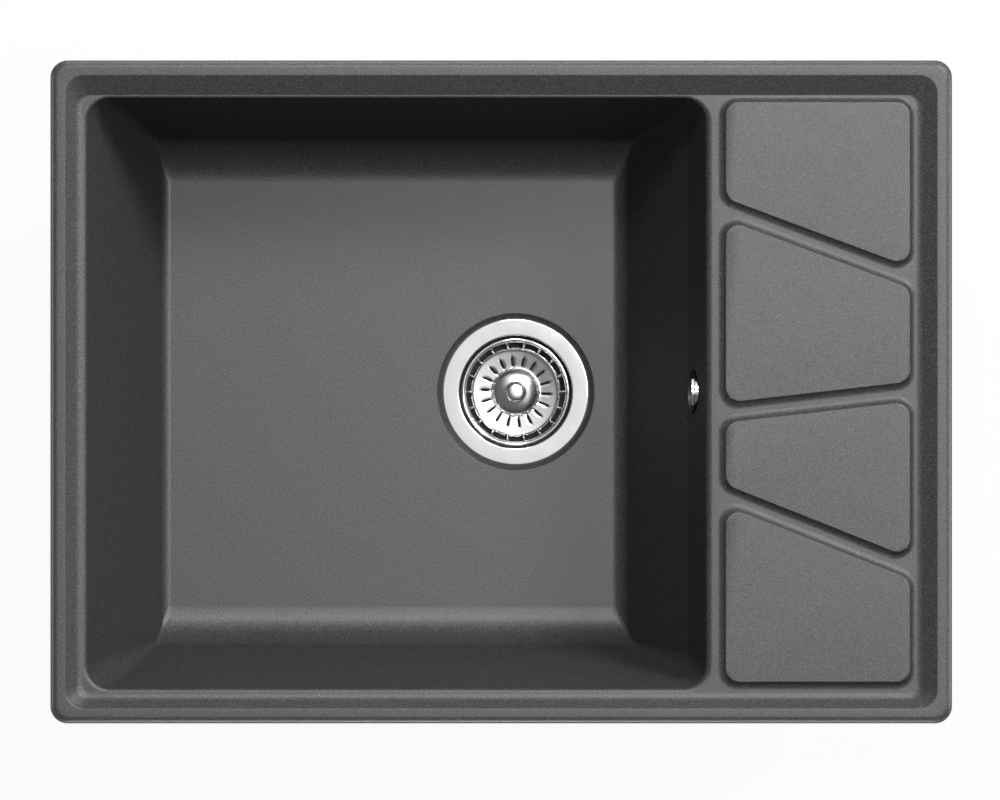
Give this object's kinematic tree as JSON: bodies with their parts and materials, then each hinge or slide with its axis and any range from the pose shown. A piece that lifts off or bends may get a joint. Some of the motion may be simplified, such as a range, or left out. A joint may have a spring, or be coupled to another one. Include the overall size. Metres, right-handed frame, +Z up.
{
  "type": "kitchen sink with drainboard",
  "caption": "Inset moulded kitchen sink with one deep bowl, a ribbed drainboard on the right, a lift-out basket strainer, an overflow with its pipe, and six turning clips under the rim",
  "frame": {"origin": "centre of the rim's outline, on the plane of the worktop that the rim rests on", "axes": "+X from the bowl towards the drainboard along the sink's length, +Y towards the back, +Z up"},
  "size_m": [0.68, 0.5, 0.295],
  "materials": {
    "composite": "fine grained stone composite, satin",
    "steel": "bright polished",
    "zinc_steel": "dull zinc plate",
    "brass": "turned",
    "rubber": "matt black",
    "pipe_plastic": "moulded white"
  },
  "bodies": {
    "sink": {"sink_moulding": "composite", "waste_flange": "steel", "body_seal": "rubber", "centre_screw": "steel", "screw_nut": "brass", "waste_body": "pipe_plastic", "waste_outlet": "pipe_plastic", "overflow_branch": "pipe_plastic", "overflow_cover": "steel", "overflow_ring": "steel", "overflow_screw": "steel", "overflow_seal": "rubber", "overflow_elbow": "pipe_plastic", "overflow_pipe": "pipe_plastic", "overflow_nuts": "pipe_plastic", "pipe_washers": "rubber", "clip_screws": "zinc_steel"},
    "basket": {"strainer_basket": "steel", "basket_knob": "steel", "basket_stem": "steel", "basket_plug": "rubber"},
    "clip_1": {"clip_back_left": "zinc_steel"},
    "clip_2": {"clip_back_right": "zinc_steel"},
    "clip_3": {"clip_right": "zinc_steel"},
    "clip_4": {"clip_front_right": "zinc_steel"},
    "clip_5": {"clip_front_left": "zinc_steel"},
    "clip_6": {"clip_left": "zinc_steel"}
  },
  "joints": [
    {"name": "basket_lift", "type": "slide", "parent": "sink", "child": "basket", "axis": [0, 0, 1], "range_m": [0, 0.24]},
    {"name": "clip_back_left_turn", "type": "hinge", "parent": "sink", "child": "clip_1", "pos_m": [-0.205, 0.232, -0.046], "axis": [0, 0, 1], "range_deg": [0, 90]},
    {"name": "clip_back_right_turn", "type": "hinge", "parent": "sink", "child": "clip_2", "pos_m": [0.205, 0.232, -0.046], "axis": [0, 0, 1], "range_deg": [0, 90]},
    {"name": "clip_right_turn", "type": "hinge", "parent": "sink", "child": "clip_3", "pos_m": [0.322, 0, -0.046], "axis": [0, 0, 1], "range_deg": [0, 90]},
    {"name": "clip_front_right_turn", "type": "hinge", "parent": "sink", "child": "clip_4", "pos_m": [0.205, -0.232, -0.046], "axis": [0, 0, 1], "range_deg": [0, 90]},
    {"name": "clip_front_left_turn", "type": "hinge", "parent": "sink", "child": "clip_5", "pos_m": [-0.205, -0.232, -0.046], "axis": [0, 0, 1], "range_deg": [0, 90]},
    {"name": "clip_left_turn", "type": "hinge", "parent": "sink", "child": "clip_6", "pos_m": [-0.322, 0, -0.046], "axis": [0, 0, 1], "range_deg": [0, 90]}
  ]
}
